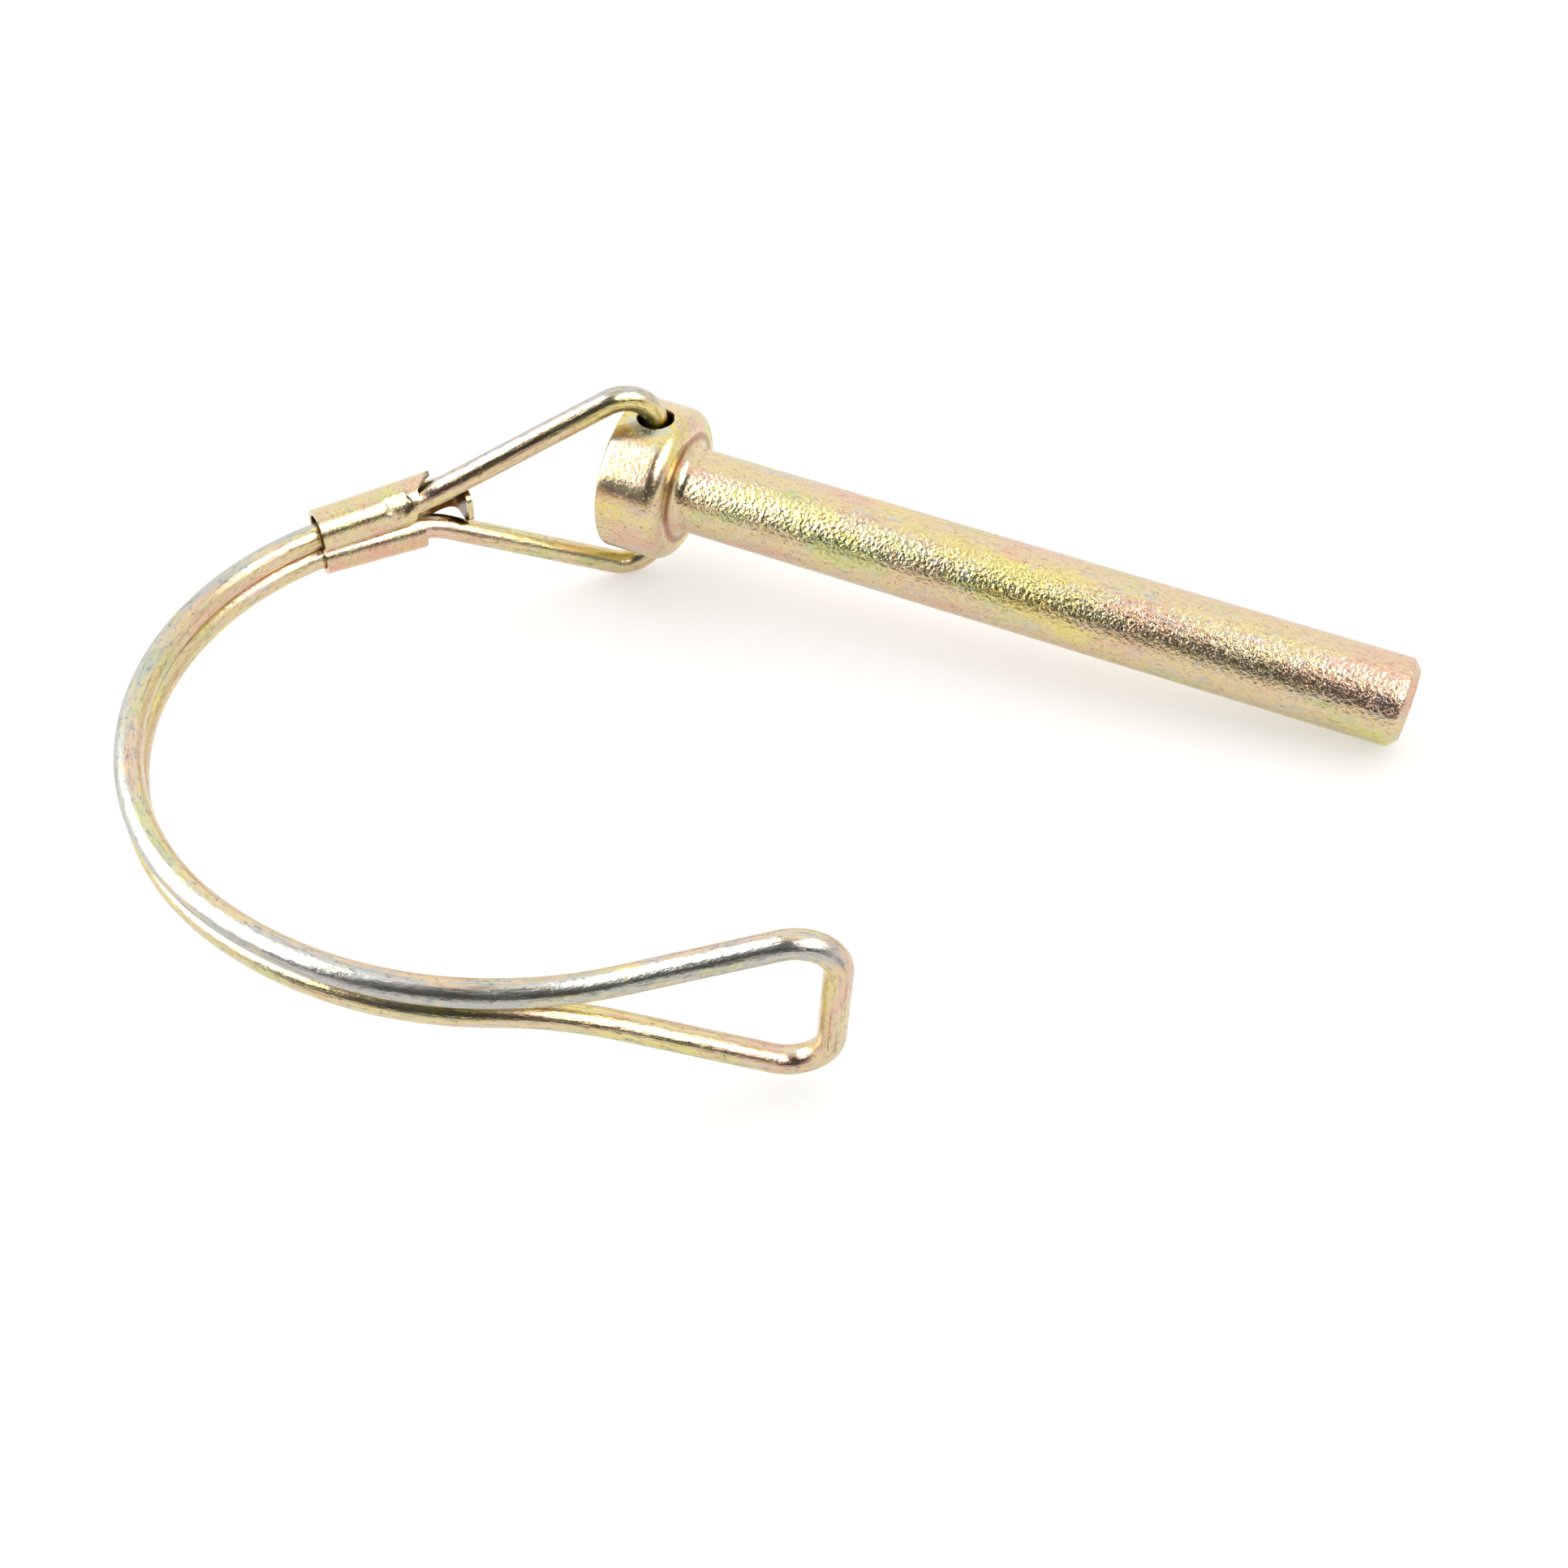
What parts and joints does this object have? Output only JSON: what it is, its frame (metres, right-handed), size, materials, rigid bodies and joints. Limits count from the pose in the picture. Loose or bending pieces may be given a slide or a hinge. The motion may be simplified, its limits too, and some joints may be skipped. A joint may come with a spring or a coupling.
{
  "type": "hitch pin lock",
  "caption": "Headed round lock pin with a bent-wire bail that swings on the head's cross hole and snaps over the pin's tip, its two wires held by a sheet-metal clip.",
  "frame": {"origin": "on the pin's axis where its full-diameter shank begins, just past the fillet under the head", "axes": "+X along the pin towards its tip; +Z along the cross hole that the bail swings in; at rest the bail lies in the XY plane on the -Y side"},
  "size_m": [0.0986, 0.0696, 0.0216],
  "materials": {
    "zinc_pin": "yellow zinc chromate on cold-headed steel, finely pitted",
    "zinc_wire": "yellow zinc chromate on drawn spring wire, worn silvery on the outside of the bends",
    "zinc_clip": "yellow zinc chromate on sheet steel"
  },
  "bodies": {
    "pin": {"pin": "zinc_pin"},
    "bail": {"bail_wire": "zinc_wire", "ferrule": "zinc_clip"}
  },
  "joints": [
    {"name": "bail_swing", "type": "hinge", "parent": "pin", "child": "bail", "pos_m": [-0.0043, 0, 0], "axis": [0, 0, 1], "range_deg": [-193, 47]}
  ]
}
